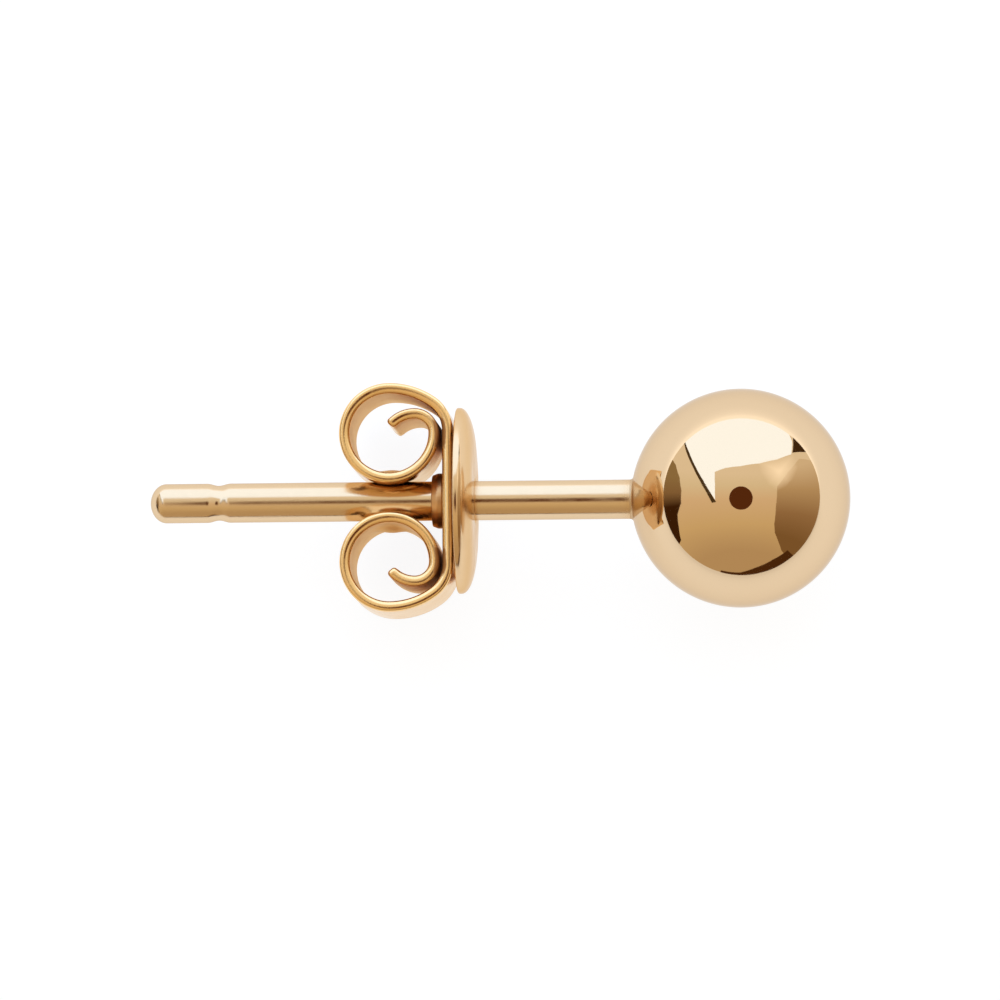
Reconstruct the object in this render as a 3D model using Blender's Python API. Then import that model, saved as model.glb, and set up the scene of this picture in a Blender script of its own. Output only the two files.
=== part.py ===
"""Ball stud earring with its butterfly back pushed on, lying on its side. Metres, +Z up.

The post runs towards -X. Lengths called "along the post" are counted from the ball's centre.
The stud lies on the ball and on the back disc's rim, so its post droops a little towards the tip.
"""

import math

import bmesh
import bpy
from mathutils import Matrix, Vector

MM = 0.001

# Ball and post, soldered into one piece
BALL_DIAMETER = 5.0 * MM
POST_DIAMETER = 0.9 * MM
POST_LENGTH = 11.0 * MM  # ball's surface to the tip
TIP_ROUNDING = 0.37 * MM  # length of the rounded tip
SOLDER_FILLET = 0.08 * MM
CATCH_FROM_TIP = 1.57 * MM  # tip to the middle of the catch groove
CATCH_WIDTH = 0.54 * MM
CATCH_DEPTH = 0.05 * MM

# Butterfly back: the pressed disc that lies against the ear
EAR_GAP = 3.56 * MM  # ball's surface to the disc
DISC_DIAMETER = 4.25 * MM
DISC_SHEET = 0.22 * MM
DISC_HOLLOW = 0.19 * MM  # depth of the hollow behind the disc
DISC_SHOULDER = 0.97 * MM  # radial width of the rounded shoulder
DISC_RIM_BAND = 0.08 * MM  # straight band at the rim
MOUTH_ROUNDING = 0.08 * MM  # rounded edge of the hole's mouth

# Butterfly back: the eyelet that holds disc and scrolls together
FIT_CLEARANCE = 0.03 * MM  # around the post, and between disc and scrolls
EYELET_WALL = 0.10 * MM
EYELET_LIP = 0.07 * MM  # how far its spread end stands out
EYELET_END = 0.34 * MM  # length of the spread end

# Butterfly back: the strip that is curled into two scrolls
STRIP_WIDTH = 2.4 * MM
STRIP_THICKNESS = 0.24 * MM
SEAT_GAP = 0.04 * MM  # disc's rim to the strip
BEND_RADIUS = 0.80 * MM  # first bend, away from the disc
BEND_ANGLE = math.radians(55)
SCROLL_RADIUS = 1.0 * MM  # main turn, at the middle of the strip
CREVICE = 0.11 * MM  # main turn to the flat middle of the strip
CURL_RADIUS = 0.44 * MM  # quarter turn inside the main turn
CURL_END_RADIUS = 0.71 * MM
CURL_END_ANGLE = math.radians(51)
GRIP_DEPTH = 0.15 * MM  # hollow pressed across each scroll where it grips the post
GRIP_WIDTH = 1.2 * MM
GRIP_LENGTH = 1.4 * MM
BACK_ROLL = math.radians(3)  # turn of the scrolls about the post, their upper edges towards +Y

# Facets
SIDES = 48
BALL_STEPS = 24
ROUND_STEPS = 5
SCROLL_STEP = math.radians(10)

ball_radius = BALL_DIAMETER / 2
post_radius = POST_DIAMETER / 2
disc_radius = DISC_DIAMETER / 2
hole_radius = post_radius + FIT_CLEARANCE
eyelet_radius = hole_radius + EYELET_WALL
tip_at = ball_radius + POST_LENGTH
disc_at = ball_radius + EAR_GAP
disc_depth = DISC_SHEET + DISC_HOLLOW
strip_front = disc_depth + SEAT_GAP
strip_middle = strip_front + STRIP_THICKNESS / 2
strip_back = strip_front + STRIP_THICKNESS


def make_gold(name, colour, roughness):
    """Polished gold-coloured metal."""
    material = bpy.data.materials.new(name)
    material.use_nodes = True
    shader = material.node_tree.nodes["Principled BSDF"]
    shader.inputs["Base Color"].default_value = (*colour, 1)
    shader.inputs["Metallic"].default_value = 1
    shader.inputs["Roughness"].default_value = roughness
    return material


def add_piece(name, bm, carrier, material):
    """Turn a bmesh into an object that hangs on the carrier."""
    bmesh.ops.recalc_face_normals(bm, faces=bm.faces)
    mesh = bpy.data.meshes.new(name)
    bm.to_mesh(mesh)
    bm.free()
    mesh.shade_smooth()
    mesh.set_sharp_from_angle(angle=math.radians(30))
    mesh.materials.append(material)
    piece = bpy.data.objects.new(name, mesh)
    piece.parent = carrier
    bpy.context.collection.objects.link(piece)
    return piece


def arc(centre, radii, start, end, steps):
    """Points (along the post, from its axis) on an ellipse, from one angle to another."""
    points = []
    for step in range(steps + 1):
        angle = start + (end - start) * step / steps
        points.append((centre[0] + radii[0] * math.cos(angle), centre[1] + radii[1] * math.sin(angle)))
    return points


def turn(profile, closed):
    """Turn a profile of (along the post, from its axis) points about the post, a corner down."""
    bm = bmesh.new()
    verts = [bm.verts.new((-along, 0, radius)) for along, radius in profile]
    edges = [bm.edges.new(pair) for pair in zip(verts, verts[1:])]
    if closed:
        edges.append(bm.edges.new((verts[-1], verts[0])))
    bmesh.ops.spin(
        bm, geom=verts + edges, cent=(0, 0, 0), axis=(1, 0, 0), angle=math.tau, steps=SIDES, use_merge=True
    )
    bmesh.ops.remove_doubles(bm, verts=bm.verts, dist=MM / 10000)
    return bm


def make_ball_and_post(carrier):
    """The ball, its solder fillet and the post with the catch groove near the rounded tip."""
    fillet_from_axis = post_radius + SOLDER_FILLET
    fillet_along = math.sqrt((ball_radius + SOLDER_FILLET) ** 2 - fillet_from_axis**2)
    join_angle = math.atan2(fillet_from_axis, fillet_along)
    profile = arc((0, 0), (ball_radius, ball_radius), math.pi, join_angle, BALL_STEPS)
    profile += arc(
        (fillet_along, fillet_from_axis),
        (SOLDER_FILLET, SOLDER_FILLET),
        math.pi + join_angle,
        math.pi * 1.5,
        ROUND_STEPS,
    )[1:]
    for step in range(ROUND_STEPS * 2 + 1):
        share = step / (ROUND_STEPS * 2)
        along = tip_at - CATCH_FROM_TIP + (share - 0.5) * CATCH_WIDTH
        profile.append((along, post_radius - CATCH_DEPTH * math.sin(math.pi * share) ** 2))
    profile += arc(
        (tip_at - TIP_ROUNDING, 0), (TIP_ROUNDING, post_radius), math.pi / 2, 0, ROUND_STEPS + 1
    )
    profile[0] = (-ball_radius, 0)
    profile[-1] = (tip_at, 0)
    material = make_gold("stud_gold", (0.80, 0.56, 0.30), 0.04)
    return add_piece("ball_and_post", turn(profile, False), carrier, material)


def make_disc(carrier):
    """The domed disc, hollow behind, with the eyelet drawn out of its middle."""
    shoulder_depth = disc_depth - DISC_RIM_BAND
    flat_radius = disc_radius - DISC_SHOULDER
    front = [(0, flat_radius)]
    shoulder = arc(
        (shoulder_depth, flat_radius), (shoulder_depth, DISC_SHOULDER), math.pi, math.pi / 2, ROUND_STEPS * 2
    )[1:]
    rim = [(disc_depth, disc_radius)]
    hollow = arc(
        (disc_depth, flat_radius),
        (DISC_HOLLOW, DISC_SHOULDER - DISC_SHEET),
        math.pi / 2,
        math.pi,
        ROUND_STEPS,
    )
    end_at = strip_back + FIT_CLEARANCE
    eyelet = [
        (DISC_SHEET, eyelet_radius),
        (end_at, eyelet_radius),
        (end_at, eyelet_radius + EYELET_LIP),
        (end_at + EYELET_END / 2, eyelet_radius + EYELET_LIP),
        (end_at + EYELET_END, eyelet_radius),
        (end_at + EYELET_END, hole_radius),
    ]
    mouth = arc(
        (MOUTH_ROUNDING, hole_radius + MOUTH_ROUNDING),
        (MOUTH_ROUNDING, MOUTH_ROUNDING),
        math.pi * 1.5,
        math.pi,
        ROUND_STEPS,
    )
    profile = front + shoulder + rim + hollow + eyelet + mouth
    material = make_gold("disc_gold", (0.80, 0.54, 0.28), 0.08)
    return add_piece("back_disc", turn(profile, True), carrier, material)


def scroll_stations():
    """Stations (behind the disc, from the axis, heading, grip share) from the first bend to the tip.

    The heading starts away from the axis and turns towards the post's tip.
    """
    main_turn = math.pi * 1.5
    curl = math.pi / 2
    lead_angle = math.pi / 2 - BEND_ANGLE
    main_middle = STRIP_THICKNESS + CREVICE + SCROLL_RADIUS
    lead_radius = (main_middle - BEND_RADIUS * (1 - math.cos(BEND_ANGLE))) / math.cos(BEND_ANGLE)
    grip_height = hole_radius - GRIP_DEPTH + STRIP_THICKNESS / 2
    top = grip_height + 2 * SCROLL_RADIUS
    bend_start = top - BEND_RADIUS * math.sin(BEND_ANGLE) - lead_radius * (1 - math.sin(BEND_ANGLE))
    arcs = (
        (BEND_RADIUS, BEND_ANGLE),
        (lead_radius, lead_angle),
        (SCROLL_RADIUS, main_turn),
        (CURL_RADIUS, curl),
        (CURL_END_RADIUS, CURL_END_ANGLE),
    )
    grip_heading = math.pi * 1.5
    place = Vector((strip_middle, bend_start))
    heading = 0
    stations = [(place.copy(), heading, 0)]
    for radius, sweep in arcs:
        steps = max(2, round(sweep / SCROLL_STEP))
        centre = place + radius * Vector((math.cos(heading), -math.sin(heading)))
        for step in range(1, steps + 1):
            angle = heading + sweep * step / steps
            spot = centre - radius * Vector((math.cos(angle), -math.sin(angle)))
            from_grip = abs(angle - grip_heading) * SCROLL_RADIUS / (GRIP_LENGTH / 2)
            share = math.cos(math.pi / 2 * min(from_grip, 1)) ** 2
            stations.append((spot, angle, share))
        place = spot
        heading += sweep
    return stations


def make_scrolls(carrier):
    """One strip: flat behind the disc, both ends curled into scrolls that grip the post."""
    half = scroll_stations()
    columns = [-STRIP_WIDTH / 2]
    columns += [GRIP_WIDTH * share for share in (-0.5, -0.25, 0, 0.25, 0.5)]
    columns += [STRIP_WIDTH / 2]
    bm = bmesh.new()
    rings = []
    for side, stations in ((-1, reversed(half)), (1, half)):
        for place, heading, grip in stations:
            inward = Vector((math.cos(heading), -math.sin(heading)))
            ring = []
            for face, order in ((-0.5, 1), (0.5, -1)):
                for across in columns[::order]:
                    pressed = math.cos(math.pi * max(-0.5, min(0.5, across / GRIP_WIDTH))) ** 2
                    spot = place + inward * (face * STRIP_THICKNESS + GRIP_DEPTH * grip * pressed)
                    ring.append(bm.verts.new((-spot.x, side * spot.y, across)))
            rings.append(ring)
    for ring, following in zip(rings, rings[1:]):
        for index in range(len(ring)):
            before = index - 1
            bm.faces.new((ring[before], ring[index], following[index], following[before]))
    for ring in (rings[0], rings[-1]):
        count = len(columns)
        for index in range(count - 1):
            outer = (ring[index], ring[index + 1])
            inner = (ring[2 * count - 2 - index], ring[2 * count - 1 - index])
            bm.faces.new(outer + inner)
    material = make_gold("scroll_gold", (0.76, 0.48, 0.23), 0.10)
    scrolls = add_piece("back_scrolls", bm, carrier, material)
    scrolls.rotation_euler.x = -BACK_ROLL
    pierce(scrolls, eyelet_radius + FIT_CLEARANCE, strip_middle, carrier)
    return scrolls


def pierce(strip, radius, along, carrier):
    """Cut the round hole that the eyelet passes through."""
    bm = bmesh.new()
    bmesh.ops.create_cone(
        bm,
        cap_ends=True,
        segments=SIDES,
        radius1=radius,
        radius2=radius,
        depth=STRIP_THICKNESS + CREVICE,
        matrix=Matrix.Rotation(math.pi / 2, 4, "Y"),
    )
    cutter = add_piece("hole_cutter", bm, carrier, strip.data.materials[0])
    cutter.location.x = -along
    cutter.display_type = "WIRE"
    cutter.hide_render = True
    hole = strip.modifiers.new("hole", "BOOLEAN")
    hole.operation = "DIFFERENCE"
    hole.solver = "EXACT"
    hole.object = cutter


def world_points(pieces):
    """Every vertex of the finished pieces, in world space."""
    bpy.context.view_layer.update()
    graph = bpy.context.evaluated_depsgraph_get()
    points = []
    for piece in pieces:
        finished = piece.evaluated_get(graph)
        points += [finished.matrix_world @ vert.co for vert in finished.data.vertices]
    return points


def add_empty(name, carrier=None):
    empty = bpy.data.objects.new(name, None)
    empty.parent = carrier
    empty.empty_display_size = MM
    bpy.context.collection.objects.link(empty)
    return empty


def build():
    for thing in list(bpy.data.objects):
        bpy.data.objects.remove(thing, do_unlink=True)
    stud = add_empty("stud_axis")
    back = add_empty("butterfly_back_axis", stud)
    back.location.x = -disc_at
    pieces = [make_ball_and_post(stud), make_disc(back), make_scrolls(back)]

    rim_at = disc_at + disc_depth
    droop = math.asin(ball_radius / math.hypot(rim_at, disc_radius)) - math.atan2(disc_radius, rim_at)
    stud.rotation_euler.y = -droop
    points = world_points(pieces)
    stud.location.x = -(min(point.x for point in points) + max(point.x for point in points)) / 2
    stud.location.z = -min(point.z for point in points)


build()
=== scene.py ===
import math

import bmesh
import bpy
from mathutils import Matrix, Vector


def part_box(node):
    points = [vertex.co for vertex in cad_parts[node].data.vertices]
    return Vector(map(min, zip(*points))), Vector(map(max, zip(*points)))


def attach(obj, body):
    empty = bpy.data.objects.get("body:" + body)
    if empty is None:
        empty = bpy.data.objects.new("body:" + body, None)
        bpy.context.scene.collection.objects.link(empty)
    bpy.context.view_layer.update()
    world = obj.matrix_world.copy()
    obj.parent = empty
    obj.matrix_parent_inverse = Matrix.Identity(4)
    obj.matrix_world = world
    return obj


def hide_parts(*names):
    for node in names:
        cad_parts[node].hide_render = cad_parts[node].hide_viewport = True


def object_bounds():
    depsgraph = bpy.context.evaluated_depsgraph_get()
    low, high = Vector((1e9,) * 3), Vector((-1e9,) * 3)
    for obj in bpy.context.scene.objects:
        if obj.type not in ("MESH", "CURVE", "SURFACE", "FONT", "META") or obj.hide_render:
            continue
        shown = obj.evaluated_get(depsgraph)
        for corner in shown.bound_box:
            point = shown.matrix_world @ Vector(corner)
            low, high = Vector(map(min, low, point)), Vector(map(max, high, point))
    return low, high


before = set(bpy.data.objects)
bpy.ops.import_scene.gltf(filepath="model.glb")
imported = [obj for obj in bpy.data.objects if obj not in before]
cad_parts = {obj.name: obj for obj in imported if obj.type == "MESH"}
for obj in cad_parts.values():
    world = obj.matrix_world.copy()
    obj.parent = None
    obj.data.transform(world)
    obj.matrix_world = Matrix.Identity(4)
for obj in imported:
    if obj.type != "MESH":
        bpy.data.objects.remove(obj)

cadLow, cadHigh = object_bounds()
mm = 0.001  # in metres
print("Frame loaded: " + ", ".join(sorted(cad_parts)))


# helpers for shader nodes
def feed(tree, node, inputs):
    # links what is a socket and sets what is a plain value
    for name, value in inputs.items():
        if isinstance(value, bpy.types.NodeSocket):
            tree.links.new(value, node.inputs[name])
        else:
            node.inputs[name].default_value = value
    return node


def addNode(tree, kind, inputs=None, **settings):
    node = tree.nodes.new(kind)
    for name, value in settings.items():
        setattr(node, name, value)
    return feed(tree, node, inputs or {})


def calculate(tree, operation, first, second=None, third=None, clamp=False):
    values = {index: value for index, value in enumerate((first, second, third)) if value is not None}
    return addNode(tree, "ShaderNodeMath", values, operation=operation, use_clamp=clamp).outputs[0]


def newGroup(name, inputs, outputs):
    group = bpy.data.node_groups.new(name, "ShaderNodeTree")
    for label, kind, value in inputs:
        socket = group.interface.new_socket(name=label, in_out="INPUT", socket_type="NodeSocket" + kind)
        if value is not None:
            socket.default_value = value
    for label, kind in outputs:
        group.interface.new_socket(name=label, in_out="OUTPUT", socket_type="NodeSocket" + kind)
    return group, group.nodes.new("NodeGroupInput").outputs, group.nodes.new("NodeGroupOutput").inputs


def placeGroup(tree, group, **inputs):
    node = tree.nodes.new("ShaderNodeGroup")
    node.node_tree = group
    return feed(tree, node, inputs).outputs


# effects that several finishes share
effects = {
    "scratchLevel": 0.5,  # the noise value whose contour is a scratch
    "scratchPatches": 900.0,  # per metre, where the scratches gather
    "scratchesFull": 0.75,
    "lineRaggedness": 0.6,
    "smudgeFrom": 0.38,
    "smudgeFull": 0.68,
    "smudgeSwirl": 0.6,
    "crumbsPerMetre": 9000.0,
    "crumbs": 0.7,  # how much they break up the edge of the compound and its painted shade
    # the film's dark colour is painted shade in the crevices as well as left compound
    "filmFrom": 0.25,
    "filmFull": 0.75,
    "shadeFilmColour": (0.42, 0.19, 0.06, 1),
    "filmRoughness": 0.55,
    "filmMetallic": 0.75,
}

# long thin scratches of polishing: contour lines of a noise that is drawn out in one direction
hairlines, source, result = newGroup(
    "hairlines",
    [("Place", "Vector", None), ("DrawnOut", "Vector", (1, 1, 1)), ("PerMetre", "Float", 4000.0),
     ("Width", "Float", 0.02), ("Patches", "Float", 0.5)],
    [("Lines", "Float")],
)
drawnOut = addNode(hairlines, "ShaderNodeVectorMath",
                   {0: source["Place"], 1: source["DrawnOut"]}, operation="MULTIPLY")
wandering = addNode(hairlines, "ShaderNodeTexNoise",
                    {"Vector": drawnOut.outputs[0], "Scale": source["PerMetre"], "Detail": 1.0})
above = calculate(hairlines, "SUBTRACT", wandering.outputs[0], effects["scratchLevel"])
ridge = calculate(hairlines, "ABSOLUTE", above)
beside = calculate(hairlines, "DIVIDE", ridge, source["Width"], clamp=True)
scratch = calculate(hairlines, "SUBTRACT", 1.0, beside)
patch = addNode(hairlines, "ShaderNodeTexNoise",
                {"Vector": source["Place"], "Scale": effects["scratchPatches"], "Detail": 2.0})
patchMask = addNode(hairlines, "ShaderNodeMapRange",
                    {"Value": patch.outputs[0], "From Min": source["Patches"],
                     "From Max": effects["scratchesFull"]})
hairlines.links.new(calculate(hairlines, "MULTIPLY", scratch, patchMask.outputs[0]), result["Lines"])

# even fine lines in one direction, left by a die, a roll or a shear
toolLines, source, result = newGroup(
    "toolLines",
    [("Place", "Vector", None), ("Across", "Vector", (1, 1, 1)), ("PerMetre", "Float", 20000.0)],
    [("Height", "Float")],
)
squeezed = addNode(toolLines, "ShaderNodeVectorMath",
                   {0: source["Place"], 1: source["Across"]}, operation="MULTIPLY")
fineLines = addNode(toolLines, "ShaderNodeTexNoise",
                    {"Vector": squeezed.outputs[0], "Scale": source["PerMetre"], "Detail": 3.0,
                     "Roughness": effects["lineRaggedness"]})
toolLines.links.new(fineLines.outputs[0], result["Height"])

# bright and slightly dull patches, with the finish between two roughness values
handling, source, result = newGroup(
    "handling",
    [("Place", "Vector", None), ("PatchesPerMetre", "Float", 700.0), ("Bright", "Float", 0.03),
     ("Dull", "Float", 0.08), ("Scratches", "Float", 0.0), ("ScratchRoughness", "Float", 0.1),
     ("Unpolished", "Float", 0.0), ("UnpolishedRoughness", "Float", 0.2)],
    [("Roughness", "Float")],
)
smudge = addNode(handling, "ShaderNodeTexNoise",
                 {"Vector": source["Place"], "Scale": source["PatchesPerMetre"], "Detail": 4.0,
                  "Distortion": effects["smudgeSwirl"]})
smudgeMask = addNode(handling, "ShaderNodeMapRange",
                     {"Value": smudge.outputs[0], "From Min": effects["smudgeFrom"],
                      "From Max": effects["smudgeFull"]}, interpolation_type="SMOOTHSTEP")
spread = calculate(handling, "SUBTRACT", source["Dull"], source["Bright"])
patched = calculate(handling, "MULTIPLY_ADD", smudgeMask.outputs[0], spread, source["Bright"])
scratched = calculate(handling, "MULTIPLY_ADD", source["Scratches"], source["ScratchRoughness"], patched)
missed = calculate(handling, "MULTIPLY_ADD", source["Unpolished"], source["UnpolishedRoughness"], scratched)
handling.links.new(missed, result["Roughness"])

# slow drift of the gold's tone, and a deeper tone where a mask says so, which paints shade in recesses and at
# joints
goldTone, source, result = newGroup(
    "goldTone",
    [("Place", "Vector", None), ("Gold", "Color", (0.8, 0.6, 0.4, 1)),
     ("Deeper", "Color", (0.76, 0.52, 0.3, 1)), ("DriftPerMetre", "Float", 300.0), ("Drift", "Float", 0.3),
     ("Mask", "Float", 0.0)],
    [("Color", "Color")],
)
drift = addNode(goldTone, "ShaderNodeTexNoise",
                {"Vector": source["Place"], "Scale": source["DriftPerMetre"], "Detail": 2.0})
driftShare = calculate(goldTone, "MULTIPLY", drift.outputs[0], source["Drift"])
share = calculate(goldTone, "ADD", driftShare, source["Mask"], clamp=True)
tone = addNode(goldTone, "ShaderNodeMix", {"Factor": share, 6: source["Gold"], 7: source["Deeper"]},
               data_type="RGBA")
goldTone.links.new(tone.outputs[2], result["Color"])

# polishing compound left where the wheel can't reach: dull, with a broken edge, and dark as painted shade in
# the crevices where it lies
leftCompound, source, result = newGroup(
    "leftCompound",
    [("Place", "Vector", None), ("Compound", "Float", 0.0), ("Color", "Color", (0.8, 0.6, 0.4, 1)),
     ("Roughness", "Float", 0.1)],
    [("Color", "Color"), ("Roughness", "Float"), ("Metallic", "Float")],
)
crumbs = addNode(leftCompound, "ShaderNodeTexNoise",
                 {"Vector": source["Place"], "Scale": effects["crumbsPerMetre"], "Detail": 3.0})
broken = calculate(leftCompound, "MULTIPLY_ADD", crumbs.outputs[0], effects["crumbs"], -effects["crumbs"] / 2)
film = addNode(leftCompound, "ShaderNodeMapRange",
               {"Value": calculate(leftCompound, "ADD", source["Compound"], broken),
                "From Min": effects["filmFrom"], "From Max": effects["filmFull"]},
               interpolation_type="SMOOTHSTEP").outputs[0]
# the compound's dark colour also paints shade into the crevices
shadeFilmColour = addNode(leftCompound, "ShaderNodeMix",
                     {"Factor": film, 6: source["Color"], 7: effects["shadeFilmColour"]}, data_type="RGBA")
filmRoughness = addNode(leftCompound, "ShaderNodeMix",
                        {"Factor": film, 2: source["Roughness"], 3: effects["filmRoughness"]})
filmMetallic = calculate(leftCompound, "MULTIPLY_ADD", film, effects["filmMetallic"] - 1, 1.0)
leftCompound.links.new(shadeFilmColour.outputs[2], result["Color"])
leftCompound.links.new(filmRoughness.outputs[0], result["Roughness"])
leftCompound.links.new(filmMetallic, result["Metallic"])
print("Effects ready: hairlines, toolLines, handling, goldTone, leftCompound")


def makeGold(name, look):
    # polished gold: tone with painted shade where a mask deepens it, patchy gloss, scratches, left compound
    # with its painted crevice shade, and tool lines, by the piece's own place
    material = bpy.data.materials.new(name)
    material.use_nodes = True
    tree = material.node_tree
    shader = tree.nodes["Principled BSDF"]
    shader.inputs["Specular Tint"].default_value = (*look["edgeOn"], 1)
    place = addNode(tree, "ShaderNodeAttribute", attribute_name="ownPlace").outputs["Vector"]
    unpolishedAndShade = addNode(tree, "ShaderNodeAttribute", attribute_name="unpolishedAndShade").outputs["Fac"]
    compoundAndShade = addNode(tree, "ShaderNodeAttribute", attribute_name="compoundAndShade").outputs["Fac"]
    scratches = placeGroup(tree, hairlines, Place=place, DrawnOut=look["scratchDrawnOut"],
                           PerMetre=look["scratchesPerMetre"], Width=look["scratchWidth"],
                           Patches=look["scratchPatches"])["Lines"]
    gloss = placeGroup(tree, handling, Place=place, PatchesPerMetre=look["patchesPerMetre"],
                       Bright=look["bright"], Dull=look["dull"], Scratches=scratches,
                       ScratchRoughness=look["scratchRoughness"], Unpolished=unpolishedAndShade,
                       UnpolishedRoughness=look["unpolishedRoughness"])
    # the unpolished mask also deepens the tone: painted shade inside the curls, behind the disc, on the
    # eyelet and at the ball's joint
    deeper = calculate(tree, "MULTIPLY", unpolishedAndShade, look["paintedShadeTone"])
    tone = placeGroup(tree, goldTone, Place=place, Gold=(*look["gold"], 1), Deeper=(*look["deeper"], 1),
                      DriftPerMetre=look["driftPerMetre"], Drift=look["drift"], Mask=deeper)["Color"]
    dirt = placeGroup(tree, leftCompound, Place=place, Compound=compoundAndShade, Color=tone,
                      Roughness=gloss["Roughness"])
    lines = placeGroup(tree, toolLines, Place=place, Across=look["linesAcross"],
                       PerMetre=look["linesPerMetre"])["Height"]
    waves = addNode(tree, "ShaderNodeTexNoise",
                    {"Vector": place, "Scale": look["wavesPerMetre"], "Detail": 1.0})
    lineDepth = calculate(tree, "MULTIPLY_ADD", unpolishedAndShade, look["unpolishedDepth"], look["lineDepth"])
    height = calculate(tree, "MULTIPLY", lines, lineDepth)
    height = calculate(tree, "MULTIPLY_ADD", waves.outputs[0], look["waveDepth"], height)
    height = calculate(tree, "MULTIPLY_ADD", scratches, -look["scratchDepth"], height)
    bump = addNode(tree, "ShaderNodeBump", {"Strength": 1.0, "Distance": 1.0, "Height": height})
    tree.links.new(dirt["Color"], shader.inputs["Base Color"])
    tree.links.new(dirt["Roughness"], shader.inputs["Roughness"])
    tree.links.new(dirt["Metallic"], shader.inputs["Metallic"])
    tree.links.new(bump.outputs["Normal"], shader.inputs["Normal"])
    return material


def joinLoops(bm, one, other, finish=0):
    # a band of faces between two closed loops of as many points
    for index in range(len(one)):
        after = (index + 1) % len(one)
        face = bm.faces.new((one[index], one[after], other[after], other[index]))
        face.material_index = finish


# helpers for turned profiles
onAxis = 0.0001 * mm  # a ring smaller than this is one point


def arc(centre, radii, start, end, steps):
    # points (along the post, from its axis) on an ellipse
    points = []
    for step in range(steps + 1):
        angle = start + (end - start) * step / steps
        points.append((centre[0] + radii[0] * math.cos(angle), centre[1] + radii[1] * math.sin(angle)))
    return points


def rounded(corner, before, after, radius, steps=5):
    # a small round in place of the corner between two straight runs
    corner, before, after = Vector(corner), Vector(before), Vector(after)
    into, out = (before - corner).normalized(), (after - corner).normalized()
    half = into.angle(out) / 2
    reach = radius / math.tan(half)
    centre = corner + (into + out).normalized() * radius / math.sin(half)
    first, last = corner + into * reach - centre, corner + out * reach - centre
    points = []
    for step in range(steps + 1):
        spot = first.lerp(last, step / steps).normalized() * radius
        points.append(tuple(centre + spot))
    return points


def turnProfile(name, profile, closed, sides, place, materials, finishes, unpolishedAndShade, compoundAndShade):
    # turns (along, from axis) points about the post; finishes gives the material of each stretch,
    # the two masks how much the wheel missed and how much compound is left at each point, both also painted
    # shade
    bm = bmesh.new()
    ownPlace = bm.verts.layers.float_vector.new("ownPlace")
    unpolishedAndShadeLayer = bm.verts.layers.float.new("unpolishedAndShade")
    compoundAndShadeLayer = bm.verts.layers.float.new("compoundAndShade")
    rings = []
    for (along, radius), missed, left in zip(profile, unpolishedAndShade, compoundAndShade):
        ring = []
        for side in range(sides if radius > onAxis else 1):
            angle = math.tau * side / sides
            vert = bm.verts.new((-along, radius * math.sin(angle), radius * math.cos(angle)))
            vert[ownPlace] = vert.co
            vert[unpolishedAndShadeLayer] = missed
            vert[compoundAndShadeLayer] = left
            ring.append(vert)
        rings.append(ring)
    pairs = list(zip(rings, rings[1:]))
    if closed:
        pairs.append((rings[-1], rings[0]))
    for index, (one, other) in enumerate(pairs):
        for side in range(sides):
            after = (side + 1) % sides
            corners = [one[side % len(one)], one[after % len(one)],
                       other[after % len(other)], other[side % len(other)]]
            face = bm.faces.new(list(dict.fromkeys(corners)))
            face.material_index = finishes[index]
    return finishPiece(name, bm, place, materials)


def finishPiece(name, bm, place, materials, sharpFrom=50):
    # sets the piece in its place; bends of sharpFrom degrees or more stay crisp
    bmesh.ops.recalc_face_normals(bm, faces=bm.faces)
    bmesh.ops.transform(bm, matrix=place, verts=bm.verts)
    mesh = bpy.data.meshes.new(name)
    bm.to_mesh(mesh)
    bm.free()
    mesh.shade_smooth()
    mesh.set_sharp_from_angle(angle=math.radians(sharpFrom))
    for material in materials:
        mesh.materials.append(material)
    piece = bpy.data.objects.new(name, mesh)
    bpy.context.collection.objects.link(piece)
    return piece


# ball and post: sizes in millimetres turned to metres
ball = {
    "diameter": 5.0 * mm,
    "sides": 192,
    "steps": 96,
    "stepsNearJoint": 24,
}
post = {
    "diameter": 0.9 * mm,
    "length": 11.0 * mm,  # ball's surface to the tip
    "tipRounding": 0.37 * mm,
    "solderFillet": 0.08 * mm,
    "missedOnBall": 1.1 * mm,  # how far from the joint the wheel leaves the ball duller, with painted shade deepening its tone there
    "missedOnPost": 0.30 * mm,
    "catchFromTip": 1.57 * mm,
    "catchWidth": 0.54 * mm,
    "catchDepth": 0.05 * mm,
    "filletSteps": 10,
    "wireSteps": 40,
    "wireGather": 1.5,  # above 1, the steps gather towards the joint
    "catchSteps": 24,
    "tipSteps": 18,
}
ballLook = {
    "gold": (0.79, 0.60, 0.39),
    "edgeOn": (0.81, 0.75, 0.68),
    "deeper": (0.76, 0.54, 0.32),
    "drift": 0.45,
    "driftPerMetre": 260.0,
    "bright": 0.02,
    "dull": 0.05,
    "patchesPerMetre": 600.0,
    "scratchDrawnOut": (0.25, 1.0, 0.6),
    "scratchesPerMetre": 2600.0,
    "scratchWidth": 0.012,
    "scratchPatches": 0.5,
    "scratchRoughness": 0.06,
    "scratchDepth": 0.0001 * mm,
    "linesAcross": (1.0, 1.0, 1.0),
    "linesPerMetre": 9000.0,
    "lineDepth": 0.00012 * mm,
    "wavesPerMetre": 1100.0,
    "waveDepth": 0.0012 * mm,
    "unpolishedRoughness": 0.34,
    # how much the unpolished mask deepens the tone as painted shade
    "paintedShadeTone": 0.8,
    "unpolishedDepth": 0.002 * mm,
}
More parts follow.
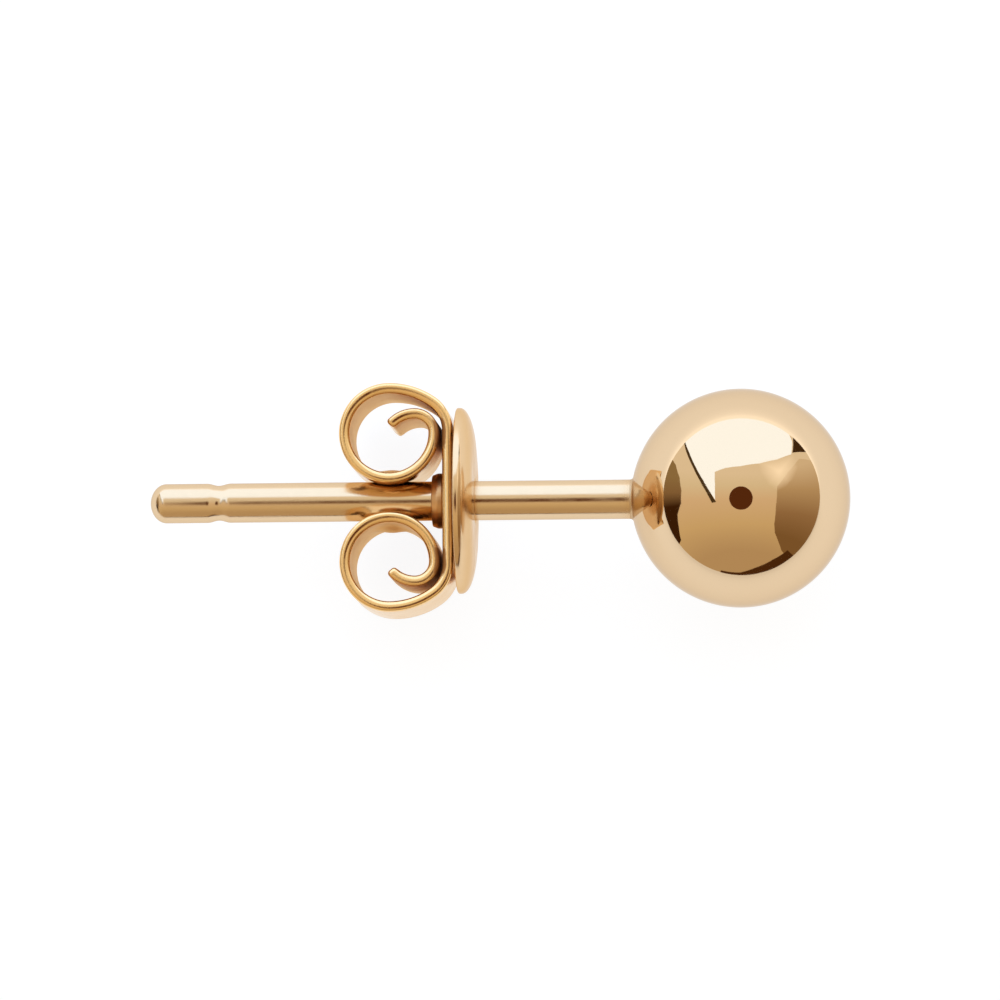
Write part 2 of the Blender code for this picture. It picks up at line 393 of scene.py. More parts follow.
postLook = dict(
    ballLook,
    bright=0.15,
    dull=0.22,
    patchesPerMetre=900.0,
    scratchDrawnOut=(0.06, 1.0, 1.0),
    scratchesPerMetre=5000.0,
    scratchWidth=0.03,
    scratchPatches=0.42,
    linesAcross=(0.02, 1.0, 1.0),
    linesPerMetre=24000.0,
    lineDepth=0.0005 * mm,
    waveDepth=0.0008 * mm,
    unpolishedRoughness=0.10,
    unpolishedDepth=0.0006 * mm,
)
solderLook = dict(
    ballLook,
    gold=(0.77, 0.58, 0.38),
    deeper=(0.66, 0.47, 0.28),
    drift=0.9,
    driftPerMetre=2500.0,
    bright=0.10,
    dull=0.20,
    patchesPerMetre=4000.0,
    lineDepth=0.0006 * mm,
    wavesPerMetre=3500.0,
    waveDepth=0.003 * mm,
)
# the disc's rim carries the post, so its sizes come before the stud is placed
disc = {
    "earGap": 3.56 * mm,  # ball's surface to the disc
    "diameter": 4.25 * mm,
    "sheet": 0.22 * mm,
    "hollow": 0.19 * mm,  # how deep its back is hollowed
    "shoulder": 0.97 * mm,  # width of the domed part around the flat
    "rimBand": 0.08 * mm,
    "mouthRounding": 0.08 * mm,
    "edgeRounding": 0.04 * mm,
    # the disc's hidden back, and a little of its mouth, are dulled and painted in shade by the unpolished
    # mask
    "unpolishedAndShadeBehind": 1.0,
    "unpolishedAndShadeMouth": 0.2,
    "shoulderSteps": 30,
    "hollowSteps": 18,
    "mouthSteps": 8,
    "sides": 160,
}
ballRadius = ball["diameter"] / 2
postRadius = post["diameter"] / 2
discRadius = disc["diameter"] / 2
discAt = ballRadius + disc["earGap"]
discDepth = disc["sheet"] + disc["hollow"]
tipAt = ballRadius + post["length"]

# the stud lies on the ball and on the disc's rim, so its post droops towards the tip
rimAt = discAt + discDepth
droop = math.asin(ballRadius / math.hypot(rimAt, discRadius)) - math.atan2(discRadius, rimAt)
ballCentre = Vector((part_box("ball_and_post")[0].x + tipAt * math.cos(droop), 0, ballRadius))
studPlace = Matrix.Translation(ballCentre) @ Matrix.Rotation(-droop, 4, "Y")
backPlace = studPlace @ Matrix.Translation((-discAt, 0, 0))

filletFromAxis = postRadius + post["solderFillet"]
filletAlong = math.sqrt((ballRadius + post["solderFillet"]) ** 2 - filletFromAxis ** 2)
joinAngle = math.atan2(filletFromAxis, filletAlong)
nearJoin = joinAngle + post["missedOnBall"] / ballRadius
ballPart = arc((0, 0), (ballRadius, ballRadius), math.pi, nearJoin, ball["steps"])
ballPart += arc((0, 0), (ballRadius, ballRadius), nearJoin, joinAngle, ball["stepsNearJoint"])[1:]
filletPart = arc((filletAlong, filletFromAxis), (post["solderFillet"], post["solderFillet"]),
                 math.pi + joinAngle, math.pi * 1.5, post["filletSteps"])[1:]
catchPart = []
for step in range(post["catchSteps"] + 1):
    share = step / post["catchSteps"]
    along = tipAt - post["catchFromTip"] + (share - 0.5) * post["catchWidth"]
    catchPart.append((along, postRadius - post["catchDepth"] * math.sin(math.pi * share) ** 2))
tipPart = arc((tipAt - post["tipRounding"], 0), (post["tipRounding"], postRadius),
              math.pi / 2, 0, post["tipSteps"])
wireLength = catchPart[0][0] - filletAlong
wirePart = []
for step in range(1, post["wireSteps"]):
    share = (step / post["wireSteps"]) ** post["wireGather"]
    wirePart.append((filletAlong + wireLength * share, postRadius))
profile = ballPart + filletPart + wirePart + catchPart + tipPart
ballFinish, solderFinish, wireFinish = range(3)
finishes = [ballFinish] * (len(ballPart) - 1) + [solderFinish] * len(filletPart)
finishes += [wireFinish] * (len(profile) - 1 - len(finishes))
profile[0] = (-ballRadius, 0)
profile[-1] = (tipAt, 0)
unpolishedAndShade = []
for index, (along, radius) in enumerate(profile):
    reach = post["missedOnBall"] if index < len(ballPart) else post["missedOnPost"]
    fromJoin = math.hypot(along - filletAlong, radius - postRadius) / reach
    unpolishedAndShade.append(max(0.0, 1 - fromJoin) ** 2)
stud = turnProfile(
    "stud_ball_and_post", profile, False, ball["sides"], studPlace,
    [makeGold("polishedBallGold", ballLook), makeGold("solderedJoint", solderLook),
     makeGold("drawnWireGold", postLook)], finishes, unpolishedAndShade, [0.0] * len(profile),
)
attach(stud, "stud")
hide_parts("ball_and_post")
print("Ball and post made")


# butterfly back: the pressed disc with its eyelet
eyelet = {
    "clearance": 0.03 * mm,  # around the post, and between disc and scrolls
    "wall": 0.10 * mm,
    "lip": 0.05 * mm,  # how far the collar stands out over the strip
    "end": 0.26 * mm,  # collar's length beyond the strip
    "footRound": 0.03 * mm,
    "neckRound": 0.01 * mm,
    "collarRound": 0.03 * mm,
    "lipRound": 0.12 * mm,
    "endRound": 0.04 * mm,
    "boreRound": 0.025 * mm,
    # the eyelet is dulled by the unpolished mask and painted in shade by it
    "unpolishedAndShade": 0.5,
    "compoundAndShade": 0.9,  # left compound with painted shade, in the hollow's corner around the foot
    "compoundAndShadeRows": (-6, 8),  # profile points there, counted from the foot
}
strip = {
    "width": 2.4 * mm,
    "thickness": 0.24 * mm,
    "seatGap": 0.04 * mm,  # between the disc's rim and the strip
    "bendRadius": 0.80 * mm,
    "bendAngle": math.radians(55),
    "scrollRadius": 1.02 * mm,
    "crevice": 0.07 * mm,  # between the scrolls and the flat
    "curlRadius": 0.44 * mm,
    "curlEndRadius": 0.71 * mm,
    "curlEndAngle": math.radians(51),
    "gripDepth": 0.15 * mm,  # hollow pressed into the scrolls for the post
    "gripWidth": 1.2 * mm,
    "gripLength": 1.4 * mm,
    "edgeRounding": 0.085 * mm,  # tumbled almost to a full round
    "lean": math.radians(5),  # sheared edges lean towards the inside of the curls
    "roll": math.radians(3),  # upper edges towards +Y
    "step": math.radians(3),
    "columns": 25,
    "edgeSteps": 6,
    "flatRows": 24,
    "endGap": 0.01 * mm,  # kept free before the rounded cut end
    "endInset": 0.98,  # how far the rounding of the cut end closes
    "holeEdge": 0.03 * mm,
    "holeReach": 1.05 * mm,
    "holeLoops": (0.5, 0.22, 0.0),  # loops around the hole, as shares of that reach
    "holeLoopsFollow": 0.35,  # how much they take after the strip's outline
    "wheelDepth": 0.06 * mm,  # through the strip, where the wheel stops reaching
    "wheelFade": 0.05 * mm,
    "wheelTurn": math.pi * 1.7,  # how far round the curl the wheel reaches the outer face
    # where the curl nears the flat, left compound is darkened as painted crevice shade
    "compoundAndShadeDepth": 0.03 * mm,
    "compoundAndShadeTurns": (math.pi * 1.6, math.pi * 2.4),  # stretch of the curl that nears the flat
    "compoundAndShadeOpening": 0.09 * mm,
}
discLook = dict(
    ballLook,
    gold=(0.81, 0.59, 0.36),
    edgeOn=(0.87, 0.74, 0.57),
    deeper=(0.74, 0.48, 0.24),
    bright=0.15,
    dull=0.24,
    patchesPerMetre=1200.0,
    scratchDrawnOut=(1.0, 0.3, 1.0),
    scratchesPerMetre=3500.0,
    scratchWidth=0.025,
    scratchPatches=0.45,
    linesPerMetre=16000.0,
    lineDepth=0.0004 * mm,
    wavesPerMetre=1400.0,
    waveDepth=0.002 * mm,
    unpolishedRoughness=0.18,
)
# the eyelet's darker, redder tone is painted shade and a painted reflection of the gold around it
eyeletShadedLook = dict(
    discLook,
    gold=(0.82, 0.52, 0.27),
    deeper=(0.64, 0.34, 0.13),
    bright=0.28,
    dull=0.42,
    linesAcross=(0.1, 1.0, 1.0),
    lineDepth=0.001 * mm,
)
holeRadius = postRadius + eyelet["clearance"]
eyeletRadius = holeRadius + eyelet["wall"]
stripFront = discDepth + strip["seatGap"]
stripMiddle = stripFront + strip["thickness"] / 2
eyeletEndAt = stripFront + strip["thickness"] + eyelet["clearance"]
shoulderDepth = discDepth - disc["rimBand"]
flatRadius = discRadius - disc["shoulder"]
hollowReach = disc["shoulder"] - disc["sheet"]
edge = disc["edgeRounding"]

shoulderPart = arc((shoulderDepth, flatRadius), (shoulderDepth, disc["shoulder"]), math.pi, math.pi / 2,
                   disc["shoulderSteps"])
rimPart = rounded((discDepth, discRadius), shoulderPart[-1], (discDepth, discRadius - disc["sheet"]), edge)
hollowPart = arc((discDepth, flatRadius), (disc["hollow"], hollowReach), math.pi / 2, math.pi,
                 disc["hollowSteps"])
hollowEdge = rounded(hollowPart[0], (discDepth, discRadius), (discDepth - mm, discRadius - disc["sheet"]),
                     edge / 2, steps=3)
hollowPart = [spot for spot in hollowPart if spot[0] < discDepth - edge / 2]
lipRadius = eyeletRadius + eyelet["lip"]
corners = [
    ((disc["sheet"], eyeletRadius), eyelet["footRound"]),
    ((eyeletEndAt, eyeletRadius), eyelet["neckRound"]),
    ((eyeletEndAt, lipRadius), eyelet["collarRound"]),
    ((eyeletEndAt + eyelet["end"] / 2, lipRadius), eyelet["lipRound"]),
    ((eyeletEndAt + eyelet["end"], eyeletRadius), eyelet["endRound"]),
    ((eyeletEndAt + eyelet["end"], holeRadius), eyelet["boreRound"]),
]
route = [hollowPart[-1]] + [corner for corner, radius in corners] + [(disc["mouthRounding"], holeRadius)]
eyeletPart = []
for index, (corner, radius) in enumerate(corners):
    eyeletPart += rounded(corner, route[index], route[index + 2], radius)
mouthPart = arc((disc["mouthRounding"], holeRadius + disc["mouthRounding"]),
                (disc["mouthRounding"], disc["mouthRounding"]), math.pi * 1.5, math.pi, disc["mouthSteps"])
shownPoints = len(shoulderPart + rimPart)
hiddenPoints = len(hollowEdge + hollowPart)
footPoint = shownPoints + hiddenPoints
discFinish, eyeletFinish = range(2)
finishes = [discFinish] * footPoint + [eyeletFinish] * len(eyeletPart) + [discFinish] * len(mouthPart)
unpolishedAndShade = [0.0] * shownPoints + [disc["unpolishedAndShadeBehind"]] * hiddenPoints
unpolishedAndShade += [eyelet["unpolishedAndShade"]] * len(eyeletPart) + [disc["unpolishedAndShadeMouth"]] * len(mouthPart)
compoundAndShade = [0.0] * len(unpolishedAndShade)
firstRow, endRow = eyelet["compoundAndShadeRows"]
for index in range(footPoint + firstRow, footPoint + endRow):
    compoundAndShade[index] = eyelet["compoundAndShade"]
backDisc = turnProfile(
    "back_disc_and_eyelet", shoulderPart + rimPart + hollowEdge + hollowPart + eyeletPart + mouthPart, True,
    disc["sides"], backPlace,
    [makeGold("pressedDiscGold", discLook), makeGold("spreadEyeletShadedGold", eyeletShadedLook)], finishes, unpolishedAndShade,
    compoundAndShade,
)
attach(backDisc, "butterfly_back")
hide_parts("back_disc")
print("Disc and eyelet made")


# butterfly back: the strip curled into two scrolls
def scrollStations():
    # (behind the disc, from the axis, heading, grip share, length along) from the first bend to the tip
    mainMiddle = strip["thickness"] + strip["crevice"] + strip["scrollRadius"]
    bend, bendRadius = strip["bendAngle"], strip["bendRadius"]
    leadRadius = (mainMiddle - bendRadius * (1 - math.cos(bend))) / math.cos(bend)
    gripHeight = holeRadius - strip["gripDepth"] + strip["thickness"] / 2
    top = gripHeight + 2 * strip["scrollRadius"]
    bendStart = top - bendRadius * math.sin(bend) - leadRadius * (1 - math.sin(bend))
    arcs = (
        (bendRadius, bend),
        (leadRadius, math.pi / 2 - bend),
        (strip["scrollRadius"], math.pi * 1.5),
        (strip["curlRadius"], math.pi / 2),
        (strip["curlEndRadius"], strip["curlEndAngle"]),
    )
    place = Vector((stripMiddle, bendStart))
    heading, length = 0.0, bendStart
    stations = [(place.copy(), heading, 0.0, length)]
    for radius, sweep in arcs:
        steps = max(3, round(sweep / strip["step"]))
        centre = place + radius * Vector((math.cos(heading), -math.sin(heading)))
        for step in range(1, steps + 1):
            angle = heading + sweep * step / steps
            spot = centre - radius * Vector((math.cos(angle), -math.sin(angle)))
            fromGrip = abs(angle - math.pi * 1.5) * strip["scrollRadius"] / (strip["gripLength"] / 2)
            share = math.cos(math.pi / 2 * min(fromGrip, 1)) ** 2
            stations.append((spot, angle, share, length + radius * sweep * step / steps))
        place = spot
        heading += sweep
        length += radius * sweep
    return stations


edgeSteps = strip["edgeSteps"]
columnCount = strip["columns"]
ringSize = 2 * columnCount + 4 * edgeSteps - 2
secondFace = columnCount - 1 + 2 * edgeSteps  # first point of the far face
columnReach = strip["width"] / 2 - strip["edgeRounding"]
faceReach = strip["thickness"] / 2 - strip["edgeRounding"]
rolledFinish, shearedFinish = range(2)


def stripSection(inset):
    # the strip cut across, as (across, through) points, its corners rounded; inset shrinks it at the cut ends
    radius = strip["edgeRounding"] - inset
    columns = [columnReach * (2 * index / (columnCount - 1) - 1) for index in range(columnCount)]
    points = [(across, -faceReach - radius) for across in columns]
    for step in range(1, 2 * edgeSteps):
        angle = math.pi / 2 * (step / edgeSteps - 1)
        side = math.copysign(faceReach, step - edgeSteps) if step != edgeSteps else 0.0
        points.append((columnReach + radius * math.cos(angle), side + radius * math.sin(angle)))
    points += [(across, faceReach + radius) for across in reversed(columns)]
    for step in range(1, 2 * edgeSteps):
        angle = math.pi / 2 * (step / edgeSteps + 1)
        side = math.copysign(faceReach, edgeSteps - step) if step != edgeSteps else 0.0
        points.append((-columnReach + radius * math.cos(angle), side + radius * math.sin(angle)))
    return [(across - through * math.tan(strip["lean"]), through) for across, through in points]


def makeStrip(place, materials):
    bm = bmesh.new()
    ownPlace = bm.verts.layers.float_vector.new("ownPlace")
    unpolishedAndShadeLayer = bm.verts.layers.float.new("unpolishedAndShade")
    compoundAndShadeLayer = bm.verts.layers.float.new("compoundAndShade")
    stations = scrollStations()
    bendStart = stations[0][3]
    endPlace, endHeading, endShare, endLength = stations[-1]
    tangent = Vector((math.sin(endHeading), math.cos(endHeading)))
    lastStation = endLength - strip["edgeRounding"] - strip["endGap"]
    halfRings = [(*station, 0.0) for station in stations if station[3] < lastStation]
    for step in range(edgeSteps + 1):
        turn = math.pi / 2 * step / edgeSteps
        ahead = strip["edgeRounding"] * (math.sin(turn) - 1)
        inset = strip["edgeRounding"] * (1 - math.cos(turn)) * strip["endInset"]
        halfRings.append((endPlace + tangent * ahead, endHeading, endShare, endLength + ahead, inset))

    def missedByWheelAndShaded(length, heading, through):
        # the wheel reaches neither the insides of the curls nor the face against the disc, and the mask
        # paints shade there as a deeper tone
        deep = min(1.0, max(0.0, abs(through) - strip["wheelDepth"]) / strip["wheelFade"])
        if through > 0 or abs(length) < bendStart:
            return deep
        return deep * min(1.0, max(0.0, heading - strip["wheelTurn"]))

    ringOuter = strip["scrollRadius"] + strip["thickness"] / 2
    curlFrom, curlTo = strip["compoundAndShadeTurns"]
    creviceAt = holeRadius - strip["gripDepth"] + strip["thickness"] / 2 + strip["scrollRadius"]

    def compoundAndShadeInCrevice(away, heading, through):
        # left compound and painted shade lie where the scroll's outer face nears the flat, and above that in
        # the bend
        onFlat = heading < math.pi / 2
        facing = (through if onFlat else -through) > strip["compoundAndShadeDepth"]
        if not facing or not (onFlat or curlFrom <= heading <= curlTo):
            return 0.0
        off = min(abs(away - creviceAt), ringOuter)
        opening = ringOuter - math.sqrt(ringOuter ** 2 - off ** 2)
        return max(0.0, 1 - opening / strip["compoundAndShadeOpening"])

    def addRing(side, spotOnPath, heading, share, length, inset):
        inward = Vector((math.cos(heading), -math.sin(heading)))
        ring = []
        for across, through in stripSection(inset):
            pressed = math.cos(math.pi * max(-0.5, min(0.5, across / strip["gripWidth"]))) ** 2
            spot = spotOnPath + inward * (through + strip["gripDepth"] * share * pressed)
            vert = bm.verts.new((-spot.x, side * spot.y, across))
            vert[ownPlace] = (side * length, across, through)
            vert[unpolishedAndShadeLayer] = missedByWheelAndShaded(length, heading, through)
            vert[compoundAndShadeLayer] = compoundAndShadeInCrevice(abs(spot.y), heading, through)
            ring.append(vert)
        return ring

    def bridge(one, other, skip=()):
        for index in range(ringSize):
            after = (index + 1) % ringSize
            if index in skip:
                continue
            face = bm.faces.new((one[index], one[after], other[after], other[index]))
            onFace = all(point < columnCount or secondFace <= point < secondFace + columnCount
                         for point in (index, after))
            face.material_index = rolledFinish if onFace else shearedFinish

    rings = [addRing(-1, *ring) for ring in reversed(halfRings)]
    flatFirst = len(rings) - 1
    for row in range(1, strip["flatRows"]):
        y = bendStart * (2 * row / strip["flatRows"] - 1)
        rings.append(addRing(1, Vector((stripMiddle, y)), 0.0, 0.0, y, 0.0))
    flatLast = len(rings)
    rings += [addRing(1, *ring) for ring in halfRings]

    # the two flat faces around the hole are grids from the hole to the strip's outline
    underFace = list(range(columnCount))
    overFace = list(range(secondFace, secondFace + columnCount))
    flatSkip = underFace[:-1] + overFace[:-1]
    for index in range(len(rings) - 1):
        bridge(rings[index], rings[index + 1], flatSkip if flatFirst <= index < flatLast else ())
    holeAt = eyeletRadius + eyelet["clearance"]
    holeEdge = strip["holeEdge"]
    beyondEdge = holeAt + holeEdge * 1.01  # loops farther out take after the strip's outline
    loops = {}
    for sign, columns in ((-1, underFace), (1, overFace[::-1])):
        outline = [rings[flatFirst][column] for column in columns]
        outline += [rings[row][columns[-1]] for row in range(flatFirst + 1, flatLast)]
        outline += [rings[flatLast][column] for column in columns[::-1]]
        outline += [rings[row][columns[0]] for row in range(flatLast - 1, flatFirst, -1)]
        faceAt = sign * strip["thickness"] / 2
        loops[sign] = [outline]
        targets = []
        for share in strip["holeLoops"]:
            targets.append((holeAt + holeEdge + (strip["holeReach"] - holeAt) * share, faceAt))
        for step in range(1, edgeSteps + 1):
            turn = math.pi / 2 * step / edgeSteps
            targets.append((holeAt + holeEdge * (1 - math.sin(turn)),
                            faceAt - sign * holeEdge * (1 - math.cos(turn))))
        for radius, through in targets:
            loop = []
            for vert in outline:
                angle = math.atan2(vert.co.z, vert.co.y)
                away = Vector((vert.co.y, vert.co.z))
                spot = Vector((math.cos(angle), math.sin(angle))) * radius
                if radius > beyondEdge:
                    spot = spot.lerp(away, strip["holeLoopsFollow"])
                point = bm.verts.new((-(stripMiddle + through), spot.x, spot.y))
                point[ownPlace] = (spot.x, spot.y, through)
                # around the hole the strip is fully unpolished and painted in shade
                point[unpolishedAndShadeLayer] = 1.0
                loop.append(point)
            loops[sign].append(loop)
        for one, other in zip(loops[sign], loops[sign][1:]):
            joinLoops(bm, one, other, rolledFinish)
    joinLoops(bm, loops[-1][-1], loops[1][-1], shearedFinish)
    for ring in (rings[0], rings[-1]):
        bm.faces.new(ring).material_index = shearedFinish
    return finishPiece("back_scroll_strip", bm, place, materials, sharpFrom=60)


rolledLook = dict(
    ballLook,
    gold=(0.87, 0.63, 0.37),
    edgeOn=(0.94, 0.82, 0.64),
    deeper=(0.78, 0.48, 0.20),
    bright=0.10,
    dull=0.18,
    patchesPerMetre=1100.0,
    scratchDrawnOut=(0.15, 1.0, 1.0),
    scratchesPerMetre=5000.0,
    scratchWidth=0.03,
    scratchPatches=0.42,
    linesAcross=(0.02, 1.0, 0.02),
    linesPerMetre=26000.0,
    lineDepth=0.0006 * mm,
    waveDepth=0.001 * mm,
    unpolishedRoughness=0.30,
    unpolishedDepth=0.0012 * mm,
)
shearedLook = dict(
    rolledLook,
    gold=(0.96, 0.68, 0.34),
    deeper=(0.91, 0.58, 0.26),
    drift=0.7,
    driftPerMetre=900.0,
    bright=0.14,
    dull=0.22,
    patchesPerMetre=2000.0,
    scratchDrawnOut=(1.0, 0.2, 0.2),
    linesAcross=(1.0, 0.05, 0.05),
    linesPerMetre=16000.0,
    waveDepth=0.0015 * mm,
    unpolishedRoughness=0.12,
    # the sheared edges take less of the painted shade
    paintedShadeTone=0.3,
)
scrolls = makeStrip(backPlace @ Matrix.Rotation(-strip["roll"], 4, "X"),
                    [makeGold("rolledStripGold", rolledLook), makeGold("shearedEdgeGold", shearedLook)])
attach(scrolls, "butterfly_back")
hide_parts("back_scrolls")
print("Scrolls made")


# studio: white table, tan tent, softbox, and the tent's edges, panels and lens that the ball mirrors
studio = {
    "tableRadius": 0.42,
    "tableColour": (0.24, 0.24, 0.24),
    "tableRoughness": 0.7,
    "tableGlow": (0.85, 0.87, 0.895),  # lit from below, so hardly a shadow shows
    "paintedLightBehind": (0.012, 0.05, 1.3),  # painted pool of light: from and to this far behind the stud, rising to this
    # painted shadow of the stud: from and to this far in front of it, falling to this
    "paintedShadowInFront": (-0.004, -0.06, 0.82),
    "tentRadius": 0.5,
    "lensHalfAngle": 12.2,
    "lensAt": 0.262,  # the dark card around the camera
    "lensTone": (0.11, 0.034, 0.010),
    "cameraAt": 0.25,  # metres from the stud
    "cameraElevation": 88.0,
    "cameraRoll": -0.45,
    "frameWidth": 22.8 * mm,  # how much of the table the picture takes in
}
# tones run from the front (-1) through overhead (0) to the back (1) of the tent
tentTones = [(-0.85, (0.56, 0.41, 0.235)), (-0.48, (0.72, 0.56, 0.32)), (-0.05, (0.80, 0.64, 0.45)),
             (0.2, (0.84, 0.77, 0.60)), (0.4, (0.90, 0.83, 0.70))]
# each card's outline is (azimuth from +X towards +Y, height above the horizon) in degrees, seen from the ball
foot = -2.6  # degrees, just below where the table hides the cards
cards = {
    "softbox": {"at": 0.45, "tones": [(0.0, (1.27, 1.54, 2.0))], "outline": [
        (133.7, foot), (138.7, 13.5), (146.3, 30.6), (156, 44.8), (170.3, 55.5), (-173.3, 61.7),
        (156.6, 59.3), (137.4, 51.4), (120.4, 55.4), (92.7, 58.3), (61, 50.4), (45.9, 34.9), (40.3, 17.8),
        (47.4, 4.6), (54.6, foot), (70, foot), (90, foot), (110, foot)]},
    "frameEdge": {"at": 0.3, "tones": [(0.0, (0.08, 0.05, 0.02))], "outline": [
        (134.7, foot), (140.2, 11), (148.2, 28.5), (159, 42.5), (173.6, 52.7), (-168.5, 57.8), (-168.3, 62.4),
        (170.3, 55.5), (156, 44.8), (146.3, 30.6), (138.7, 13.5), (133.7, foot)]},
    "cornerGap": {"at": 0.3, "tones": [(0.0, (0.06, 0.03, 0.01))], "outline": [
        (50, foot), (40.7, 15.4), (34, foot)]},
    "sideGap": {"at": 0.3, "tones": [(-0.12, (0.05, 0.018, 0.004)), (0.08, (0.27, 0.17, 0.08)),
                                     (0.3, (0.32, 0.23, 0.11))], "outline": [
        (149.5, foot), (152.8, 7.3), (161.7, 18), (173.1, 23.5), (-174.6, 22.9), (-165.5, 15.9),
        (-154.9, 11.4), (-145.1, 5), (-143, foot), (-160, foot), (-177, foot), (166, foot)]},
    "sidePanel": {"at": 0.36, "tones": [(-0.6, (0.24, 0.137, 0.053)), (-0.26, (0.35, 0.22, 0.11)),
                                        (0.11, (0.56, 0.42, 0.25)), (0.45, (0.78, 0.67, 0.51))], "outline": [
        (27, foot), (33.4, 13.2), (28, 33.2), (15.1, 51.6), (-16.6, 52.7), (-40.4, 44.8), (-47.7, 37.4),
        (-50.8, 26.7), (-53.3, 15.6), (-53, foot), (-35, foot), (-15, foot), (5, foot)]},
    "frontGap": {"at": 0.3, "tones": [(0.0, (0.08, 0.03, 0.008))], "outline": [
        (-106, foot), (-105.9, 2.3), (-91.1, 3.3), (-79.9, 7.9), (-63.6, 11), (-48.9, 10.6), (-48, foot),
        (-65, foot), (-85, foot)]},
    # soft is the share of the card over which its edge fades
    "reflector": {"at": 0.34, "soft": 0.95, "tones": [(0.0, (1.25, 1.2, 1.1))], "outline": [
        (66, 50), (47, 33), (39, 15), (27, 20), (14, 36), (8, 52), (22, 60), (50, 59)]},
}


def glowing(name, tones, sampled=False, soft=False):
    # a glowing cloth or card, toned from the tent's front to its back; a sampled one lights directly
    material = bpy.data.materials.new(name)
    material.use_nodes = True
    material.cycles.emission_sampling = "FRONT_BACK" if sampled else "NONE"
    tree = material.node_tree
    tree.nodes.remove(tree.nodes["Principled BSDF"])
    light = addNode(tree, "ShaderNodeEmission", {"Color": (*tones[0][1], 1), "Strength": 1.0})
    if len(tones) > 1:
        away = addNode(tree, "ShaderNodeVectorMath",
                       {0: tree.nodes.new("ShaderNodeTexCoord").outputs["Object"]}, operation="NORMALIZE")
        towards = addNode(tree, "ShaderNodeSeparateXYZ", {0: away.outputs[0]}).outputs["Y"]
        share = calculate(tree, "MULTIPLY_ADD", towards, 0.5, 0.5)
        ramp = addNode(tree, "ShaderNodeValToRGB", {"Fac": share})
        for index, (where, tone) in enumerate(tones):
            stops = ramp.color_ramp.elements
            stop = stops[index] if index < 2 else stops.new(1.0)
            stop.position = where / 2 + 0.5
            stop.color = (*tone, 1)
        tree.links.new(ramp.outputs["Color"], light.inputs["Color"])
    glow = light.outputs[0]
    if soft:
        cover = addNode(tree, "ShaderNodeAttribute", attribute_name="cover").outputs["Fac"]
        clear = tree.nodes.new("ShaderNodeBsdfTransparent").outputs[0]
        glow = addNode(tree, "ShaderNodeMixShader", {0: cover, 1: clear, 2: glow}).outputs[0]
    tree.links.new(glow, tree.nodes["Material Output"].inputs["Surface"])
    return material


def stagePiece(name, bm, material, hidden=True):
    mesh = bpy.data.meshes.new(name)
    bm.to_mesh(mesh)
    bm.free()
    mesh.materials.append(material)
    piece = bpy.data.objects.new(name, mesh)
    bpy.context.collection.objects.link(piece)
    piece.visible_camera = not hidden
    return piece


tableMaterial = bpy.data.materials.new("tableWhite")
tableMaterial.use_nodes = True
tableMaterial.cycles.emission_sampling = "NONE"
tableShader = tableMaterial.node_tree.nodes["Principled BSDF"]
tableShader.inputs["Base Color"].default_value = (*studio["tableColour"], 1)
tableShader.inputs["Roughness"].default_value = studio["tableRoughness"]
tableShader.inputs["Specular IOR Level"].default_value = 0.0
tableShader.inputs["Emission Color"].default_value = (*studio["tableGlow"], 1)
tableTree = tableMaterial.node_tree
# the glow rises behind the stud as a painted pool of light and falls in front of it as a painted shadow of
# the stud
behind = addNode(tableTree, "ShaderNodeSeparateXYZ",
                 {0: tableTree.nodes.new("ShaderNodeTexCoord").outputs["Object"]}).outputs["Y"]
shares = []
for near, far, level in (studio["paintedLightBehind"], studio["paintedShadowInFront"]):
    change = addNode(tableTree, "ShaderNodeMapRange",
                     {"Value": behind, "From Min": near, "From Max": far, "To Min": 1.0, "To Max": level})
    shares.append(change.outputs[0])
tableTree.links.new(calculate(tableTree, "MULTIPLY", *shares), tableShader.inputs["Emission Strength"])
bm = bmesh.new()
bmesh.ops.create_circle(bm, cap_ends=True, segments=96, radius=studio["tableRadius"])
stagePiece("table", bm, tableMaterial, hidden=False)

bm = bmesh.new()
bmesh.ops.create_uvsphere(bm, u_segments=64, v_segments=40, radius=studio["tentRadius"])
stagePiece("tent", bm, glowing("tentCloth", tentTones))

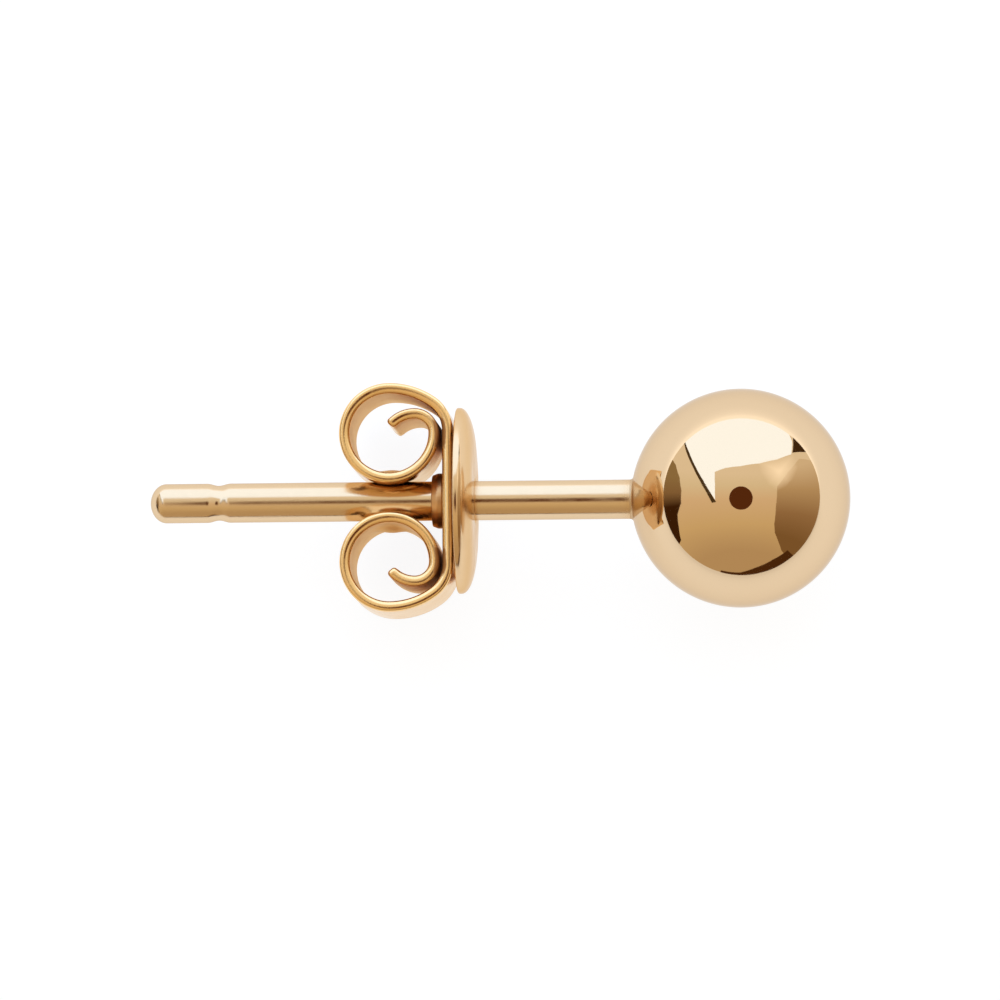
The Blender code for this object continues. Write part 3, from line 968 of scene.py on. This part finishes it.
for name, card in cards.items():
    bm = bmesh.new()
    cover = bm.verts.layers.float.new("cover")
    aims = []
    for azimuth, height in card["outline"]:
        azimuth, height = math.radians(azimuth), math.radians(height)
        aims.append(Vector((math.cos(azimuth) * math.cos(height), math.sin(azimuth) * math.cos(height),
                            math.sin(height))))
    middle = sum(aims, Vector()).normalized()
    flat = [aim / aim.dot(middle) for aim in aims]  # on one plane while it is divided
    outline = [bm.verts.new(spot) for spot in flat]
    soft = card.get("soft", 0)
    if soft:
        centre = sum(flat, Vector()) / len(flat)
        inner = [bm.verts.new(spot.lerp(centre, soft)) for spot in flat]
        joinLoops(bm, outline, inner)
        outline = inner
    for vert in outline:
        vert[cover] = 1.0
    bm.faces.new(outline)
    for face in bm.faces:
        face.normal_update()
    bmesh.ops.triangulate(bm, faces=bm.faces)
    for vert in bm.verts:
        vert.co = ballCentre + vert.co.normalized() * card["at"]
    stagePiece("card_" + name, bm, glowing("card_" + name, card["tones"], name == "softbox", soft > 0))

elevation = math.radians(studio["cameraElevation"])
towardsCamera = Vector((0, -math.cos(elevation), math.sin(elevation)))
lookAt = (cadLow + cadHigh) / 2
bm = bmesh.new()
lensRadius = studio["lensAt"] * math.tan(math.radians(studio["lensHalfAngle"]))
bmesh.ops.create_circle(bm, cap_ends=True, segments=64, radius=lensRadius)
lens = stagePiece("card_lens", bm, glowing("lensDark", [(0.0, studio["lensTone"])]))
lens.location = lookAt + towardsCamera * studio["lensAt"]
lens.rotation_euler = towardsCamera.to_track_quat("Z", "Y").to_euler()

world = bpy.data.worlds.new("surround")
world.use_nodes = True
world.node_tree.nodes["Background"].inputs["Color"].default_value = (1, 1, 1, 1)
world.node_tree.nodes["Background"].inputs["Strength"].default_value = 1.0
bpy.context.scene.world = world

camera = bpy.data.objects.new("camera", bpy.data.cameras.new("camera"))
camera.data.lens = camera.data.sensor_width * studio["cameraAt"] / studio["frameWidth"]
camera.data.clip_start = 0.01
camera.data.clip_end = 2.0
camera.location = lookAt + towardsCamera * studio["cameraAt"]
roll = Matrix.Rotation(math.radians(studio["cameraRoll"]), 3, "Z")
camera.rotation_euler = ((-towardsCamera).to_track_quat("-Z", "Y").to_matrix() @ roll).to_euler()
bpy.context.collection.objects.link(camera)
bpy.context.scene.camera = camera
bpy.context.scene.view_settings.view_transform = "Standard"
print("Studio set")
